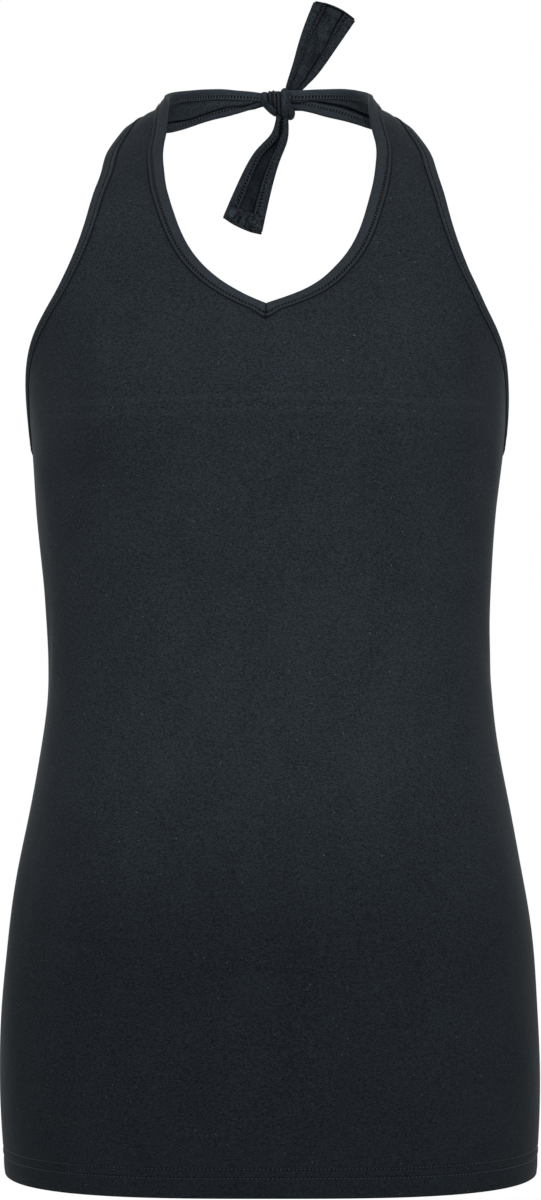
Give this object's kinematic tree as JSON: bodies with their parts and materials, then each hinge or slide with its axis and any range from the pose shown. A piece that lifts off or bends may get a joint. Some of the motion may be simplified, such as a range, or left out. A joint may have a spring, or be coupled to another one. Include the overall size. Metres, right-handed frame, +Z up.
{
  "type": "halter neck top",
  "caption": "Sleeveless jersey halter neck top with a V-neck, bound edges, a turned hem and straps tied in a knot behind the neck, filled out and hollow.",
  "frame": {"origin": "inner side of the knot behind the neck, where the halter hangs from the nape", "axes": "+Z up, the garment's front toward -Y, the wearer's left toward +X"},
  "size_m": [0.3453, 0.2409, 0.7604],
  "materials": {
    "front_panel": "matte jersey",
    "back_panel": "matte jersey",
    "neck_binding_left": "matte jersey",
    "neck_binding_right": "matte jersey",
    "armhole_binding_left": "matte jersey",
    "armhole_binding_right": "matte jersey",
    "back_binding": "matte jersey",
    "knot": "matte jersey",
    "upper_tie_cloth": "matte jersey",
    "upper_tie_binding_left": "matte jersey",
    "upper_tie_binding_right": "matte jersey",
    "lower_tie_cloth": "matte jersey",
    "lower_tie_binding_left": "matte jersey",
    "lower_tie_binding_right": "matte jersey"
  },
  "bodies": {
    "root": {"front_panel": "front_panel", "back_panel": "back_panel", "neck_binding_left": "neck_binding_left", "neck_binding_right": "neck_binding_right", "armhole_binding_left": "armhole_binding_left", "armhole_binding_right": "armhole_binding_right", "back_binding": "back_binding", "knot": "knot", "upper_tie_cloth": "upper_tie_cloth", "upper_tie_binding_left": "upper_tie_binding_left", "upper_tie_binding_right": "upper_tie_binding_right", "lower_tie_cloth": "lower_tie_cloth", "lower_tie_binding_left": "lower_tie_binding_left", "lower_tie_binding_right": "lower_tie_binding_right"}
  },
  "joints": []
}
